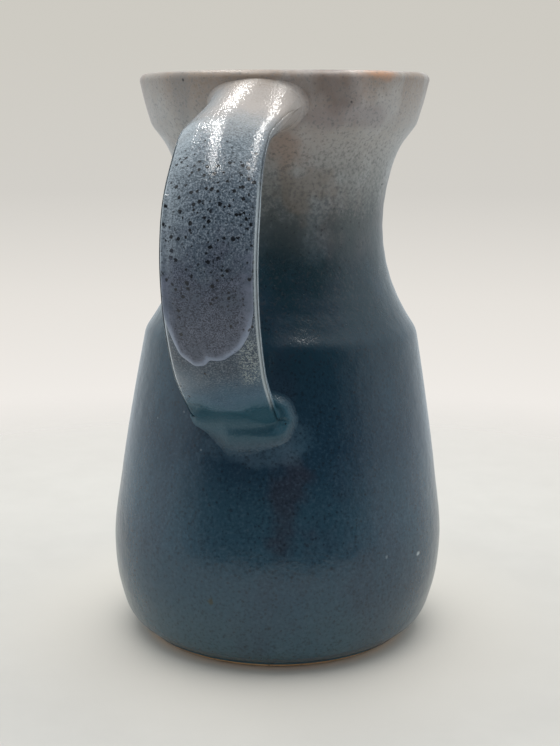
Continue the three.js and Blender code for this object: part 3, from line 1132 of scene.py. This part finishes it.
STRAP_COLOURS = [
    (0.0, rgb(176, 166, 158)), (0.11, rgb(162, 154, 148)), (0.19, rgb(134, 136, 137)),
    (0.27, rgb(96, 106, 113)), (0.36, rgb(82, 94, 105)), (0.5, rgb(84, 97, 110)),
    (0.7, rgb(44, 62, 78)), (0.83, rgb(84, 110, 128)),
    (0.865, rgb(78, 108, 124)), (0.885, rgb(32, 78, 94)), (1.0, rgb(38, 80, 96)),
]


def strap_colour(tree, place):
    along, across = mesh_value(tree, "along"), mesh_value(tree, "across")
    share = math_node(tree, "DIVIDE", along, float(STRAP_LENGTH / MM))
    blotch = clouds(tree, place, 110.0)
    shifted = plus(tree, share, remap(tree, blotch, 0, 1, -0.015, 0.015))
    colour = ramp(tree, shifted, STRAP_COLOURS)
    # painted light: the left side of the strap's upper part is painted paler, in soft blotches, where light
    # from the left falls on it
    painted_light_left = times(tree, remap(tree, across, -0.25, -0.9), remap(tree, blotch, 0, 1, 0.3, 0.75))
    painted_light_left = times(tree, painted_light_left, remap(tree, share, 0.62, 0.5))
    colour = blend_colour(tree, painted_light_left, colour, rgb(154, 165, 172))
    fine = clouds(tree, place, 1700.0, detail=3.0)
    salty = grey_ramp(tree, shifted, [(0.1, 0.1), (0.3, 0.8), (0.6, 0.75), (0.74, 0.35), (0.86, 0.1)])
    pale = times(tree, remap(tree, fine, 0.45, 0.8), salty)
    colour = paint_over(tree, colour, pale, 0.45, rgb(178, 188, 198))
    dark = times(tree, remap(tree, fine, 0.5, 0.15), salty)
    colour = paint_over(tree, colour, dark, 0.5, rgb(34, 44, 54))
    pepper = specks_in(tree, place, 1500.0, 0.42, 0.5)
    pepper = times(tree, pepper, salty)
    colour = paint_over(tree, colour, pepper, 0.8, rgb(22, 32, 42))
    spot_share = grey_ramp(tree, shifted, [(0.25, 0.0), (0.33, 0.95), (0.58, 0.95), (0.68, 0.03)])
    spots = specks_in(tree, place, 560.0, 0.33, spot_share)
    colour = paint_over(tree, colour, spots, 0.97, rgb(12, 15, 20))
    blot_share = grey_ramp(tree, shifted, [(0.33, 0.0), (0.42, 0.6), (0.6, 0.6), (0.68, 0.0)])
    blots = specks_in(tree, place, 340.0, 0.24, blot_share)
    colour = paint_over(tree, colour, blots, 0.97, rgb(10, 13, 18))
    from_side = math_node(tree, "ABSOLUTE", math_node(tree, "SUBTRACT", across, 0.76))
    from_middle = math_node(tree, "ABSOLUTE", math_node(tree, "SUBTRACT", along, 114.0))
    straw = times(tree, remap(tree, from_side, 0.3, 0.08), remap(tree, from_middle, 14.0, 5.0))
    dust = specks_in(tree, place, 2300.0, 0.6, 0.75)
    straw = times(tree, straw, dust)
    colour = paint_over(tree, colour, straw, 0.62, rgb(174, 184, 180))
    edge = math_node(tree, "ABSOLUTE", across)
    face = mesh_value(tree, "face")
    # The pale band on the strap's side faces and the paler line along its outer corners are partly glaze that
    # runs thin over the edges and partly a painted reflection of the bright tent cloth.
    thin_glaze_and_sheen = grey_ramp(tree, share, [(0.3, 0.0), (0.42, 1.0), (0.84, 1.0), (0.9, 0.0)])
    side = times(tree, remap(tree, edge, 0.95, 0.99), remap(tree, face, -0.8, -0.4))
    side = times(tree, side, thin_glaze_and_sheen)
    colour = paint_over(tree, colour, side, 0.4, rgb(190, 202, 208))
    line = times(tree, remap(tree, edge, 0.92, 0.96), remap(tree, face, -0.35, 0.1))
    line = times(tree, line, thin_glaze_and_sheen)
    colour = paint_over(tree, colour, line, 0.9, rgb(214, 224, 228))
    return colour, share

# %% [markdown]
# Both joints were smeared into the wall and glazed with it, so the handle's material is that of the
# wall there and goes over to the strap's own. The strap is glossiest over its upper bend, where it
# gives the two bright streaks, and driest where it turns under at the belly.

# %% Handle glaze material
material, tree, shader = new_material("glaze handle")
place = object_place(tree)
wall_colour, matt = outside_colour(tree, place)
colour, share = strap_colour(tree, place)
strap_share = mesh_value(tree, "on_strap")
colour = blend_colour(tree, strap_share, wall_colour, colour)
strap_roughness = remap(tree, share, 0.15, 0.45, 0.15, 0.22)
strap_roughness = plus(tree, strap_roughness, remap(tree, share, 0.86, 0.9, 0.0, 0.2))
mixed = put(tree, "ShaderNodeMix", {0: strap_share, 2: wall_roughness(tree, matt), 3: strap_roughness})
roughness = mixed.outputs[0]
finish_surface(tree, shader, place, colour, roughness, Ripple=0.7, Grain=0.45, Pinholes=0.4)
handle_glaze.data.materials.append(material)

# %% [markdown]
# ## The run's colours
# Where the second coat lies thick it is a milky lavender, dark and peppered in its middle, where the
# iron comes up, and palest in a rim along its lower edge. It fades in at its top, over the colours of
# the strap below it. The distance to its edge is stored on the mesh.

# %% Second run material
material, tree, shader = new_material("glaze second run")
place = object_place(tree)
edge = mesh_value(tree, "edge")
along = mesh_value(tree, "along")
strap_under = strap_colour(tree, place)[0]
cloud = clouds(tree, place, 150.0)
lavender = ramp(tree, cloud, [(0.1, rgb(80, 90, 106)), (0.9, rgb(110, 117, 134))])
rim = times(tree, remap(tree, edge, 3.0, 0.4), remap(tree, along, 88.0, 106.0))
lavender = blend_colour(tree, rim, lavender, rgb(138, 150, 170))
middle = remap(tree, edge, 1.0, 5.5)
middle = times(tree, middle, remap(tree, cloud, 0.0, 0.6, 0.5, 1.0))
finest = clouds(tree, place, 2800.0, detail=3.0)
dark = times(tree, remap(tree, finest, 0.75, 0.3), middle)
lavender = paint_over(tree, lavender, dark, 0.8, rgb(30, 37, 52))
pepper = specks_in(tree, place, 1500.0, 0.5, 0.75)
pepper = times(tree, pepper, remap(tree, edge, 0.6, 4.0, 0.15, 1.0))
lavender = paint_over(tree, lavender, pepper, 0.6, rgb(18, 26, 42))
spot_share = grey_ramp(tree, math_node(tree, "DIVIDE", along, 120.0), [(0.62, 0.95), (0.8, 0.4), (0.9, 0.1)])
spots = specks_in(tree, place, 560.0, 0.33, spot_share)
lavender = paint_over(tree, lavender, spots, 0.9, rgb(14, 17, 24))
arrive = remap(tree, plus(tree, along, remap(tree, cloud, 0, 1, -6, 6)), 68.0, 90.0)
colour = blend_colour(tree, arrive, strap_under, lavender)
finish_surface(tree, shader, place, colour, 0.28, Ripple=0.7, Grain=0.35, Pinholes=0.3)
glaze_run.data.materials.append(material)

# %% [markdown]
# ## The liner's colours
# The liner is guessed: a plain glossy coat, dark where it pooled on the floor and paler up the wall,
# where it ran thin in streaks as the pot was emptied.

# %% Liner material
material, tree, shader = new_material("glaze inside")
place = object_place(tree)
axes = put(tree, "ShaderNodeSeparateXYZ", {0: place})
streaks = clouds(tree, place, 70.0, stretch=4.0)
level = math_node(tree, "DIVIDE", axes.outputs["Z"], RIM_TOP)
level = plus(tree, level, remap(tree, streaks, 0, 1, -0.02, 0.02))
colour = ramp(tree, level, [
    (0.03, rgb(30, 48, 58)), (0.3, rgb(52, 70, 78)), (0.75, rgb(96, 102, 102)), (0.96, rgb(132, 124, 112))
])
specks = specks_in(tree, place, 600.0, 0.34, 0.3)
colour = paint_over(tree, colour, specks, 0.6, rgb(24, 24, 26))
finish_surface(tree, shader, place, colour, 0.24, Ripple=0.8, Grain=0.12, Pinholes=0.3)
liner_glaze.data.materials.append(material)

# %% [markdown]
# ## Bare stoneware
# Fired stoneware is tan with darker and paler grains and has no gloss. Its grain is felt as well as
# seen, so its skin is rougher than that of the glazes.

# %% Stoneware
material, tree, shader = new_material("stoneware")
place = object_place(tree)
patches = clouds(tree, place, 80.0)
colour = ramp(tree, patches, [(0.0, rgb(204, 162, 116)), (1.0, rgb(226, 186, 140))])
grit = specks_in(tree, place, 900.0, 0.4, 0.25)
colour = paint_over(tree, colour, grit, 0.6, rgb(82, 60, 44))
finish_surface(tree, shader, place, colour, 0.85, depth=0.4 * MM, Ripple=0.6, Grain=0.8, Pinholes=0.6)
for piece in bpy.context.scene.objects:
    if piece.name.startswith("clay_"):
        piece.data.materials.append(material)

# %% [markdown]
# ## Light
# The pot stands in a light tent: white cloth on both sides, behind and above, with the camera's side
# open to a room. The glass shows bright edges and a dark front, because the room is dark in its
# reflections. Matt surfaces get a dim grey light from that side. The backdrop that the camera sees is
# a soft gradient of its own, from the paper in front to the paper behind.

# %% World
world = bpy.data.worlds.new("light tent")
bpy.context.scene.world = world
world.use_nodes = True
tree = world.node_tree
tree.nodes.clear()
direction = tree.nodes.new("ShaderNodeTexCoord").outputs["Generated"]
height = put(tree, "ShaderNodeSeparateXYZ", {0: direction}).outputs["Z"]
seen_colour = ramp(tree, remap(tree, height, -0.5, 0.5, smooth=False), [
    (0.0, rgb(216, 214, 209)), (0.2, rgb(226, 223, 217)), (0.285, rgb(240, 236, 231)),
    (0.36, rgb(230, 226, 220)), (0.44, rgb(210, 207, 201)), (0.55, rgb(206, 203, 195)),
    (1.0, rgb(198, 195, 187)),
])
towards_camera = put(
    tree, "ShaderNodeVectorMath", {0: direction, 1: tuple(to_camera)}, operation="DOT_PRODUCT"
).outputs["Value"]
open_front = remap(tree, towards_camera, 0.1, 0.8)
light_path = tree.nodes.new("ShaderNodeLightPath")
CLOTH, DARK_ROOM, DIM_ROOM = (0.84, 0.91, 0.95, 1), (0.035, 0.045, 0.055, 1), (0.4, 0.42, 0.44, 1)
room = blend_colour(tree, light_path.outputs["Is Diffuse Ray"], DARK_ROOM, DIM_ROOM)
tent = blend_colour(tree, open_front, CLOTH, room)
seen = blend_colour(tree, light_path.outputs["Is Camera Ray"], tent, seen_colour)
background = put(tree, "ShaderNodeBackground", {"Color": seen})
put(tree, "ShaderNodeOutputWorld", {"Surface": background.outputs[0]})

# %% [markdown]
# Two long narrow lamps hang over the pot from front to back and give the strap its two streaks. They
# are seen in reflections only. A broad soft lamp between them gives the paper and the matt glaze
# their even light, and is kept out of the reflections.

# %% Lamps
LAMP_COLOUR = (1, 0.97, 0.93)
LAMP_LENGTH = 0.6
BEHIND = 0.05  # the lamps' middles hang this far behind the pot's axis
LAMPS = [  # name, width, power, place to the right, height, and whether reflections show it
    ("lamp_left", 0.005, 1.5, -0.12, 0.56, True),
    ("lamp_right", 0.012, 1.1, 0.14, 0.56, True),
    ("lamp_top", 0.6, 2.6, 0.0, 0.57, False),
]


def aside(sideways, backwards, height):
    """A place given from the camera's point of view, with the pot's middle as its origin."""
    return to_right * sideways - to_camera * backwards + Vector((0, 0, height))


for name, width, power, sideways, height, in_reflections in LAMPS:
    data = bpy.data.lights.new(name, "AREA")
    data.shape = "RECTANGLE"
    data.size, data.size_y = width, LAMP_LENGTH
    data.energy = power
    data.color = LAMP_COLOUR
    light = bpy.data.objects.new(name, data)
    spot = aside(sideways, BEHIND, height)
    down = aside(sideways, BEHIND + 0.001, 0) - spot  # a trace off plumb, so that its turn is defined
    light.matrix_world = Matrix.Translation(spot) @ down.to_track_quat("-Z", "Y").to_matrix().to_4x4()
    light.visible_camera = False
    light.visible_diffuse = not in_reflections
    light.visible_glossy = in_reflections
    bpy.context.scene.collection.objects.link(light)

# %% [markdown]
# ## Paper
# The paper is a flat disc, a little warm and faintly fibrous. It is painted a touch paler near the
# pot, to make up for the light that the pot keeps from it, and it turns clear further out, so that it
# goes over into the backdrop without an edge.

# %% Paper floor
FLOOR_REACH = 1.6
FLOOR_LOWER = 0.2 * MM  # so that the foot doesn't share its plane
SPOKES = 96
ring_radii = np.concatenate([[0.02], np.linspace(0.06, FLOOR_REACH, 40)])[:, None]
spokes = np.arange(SPOKES) * 2 * np.pi / SPOKES
floor_points = np.stack([
    ring_radii * np.cos(spokes), ring_radii * np.sin(spokes), -FLOOR_LOWER + 0 * ring_radii * spokes
], -1).reshape(-1, 3)
floor_faces = grid_faces(len(ring_radii), SPOKES)
floor_faces.append(tuple(range(SPOKES)))
floor = mesh_object("paper_floor", floor_points, floor_faces)
material, tree, shader = new_material("paper")
place = object_place(tree)
reach = put(tree, "ShaderNodeVectorMath", {0: place}, operation="LENGTH").outputs["Value"]
fibre = clouds(tree, place, 40.0)
paper = ramp(tree, fibre, [(0.0, rgb(207, 203, 197)), (1.0, rgb(211, 207, 201))])
paper = blend_colour(tree, remap(tree, reach, 0.13, 0.06), paper, rgb(224, 218, 209))
feed(tree, shader.inputs["Base Color"], paper)
feed(tree, shader.inputs["Alpha"], remap(tree, reach, 0.16, 0.44, 1.0, 0.0))
shader.inputs["Roughness"].default_value = 0.9
shader.inputs["Specular IOR Level"].default_value = 0.1
floor.data.materials.append(material)
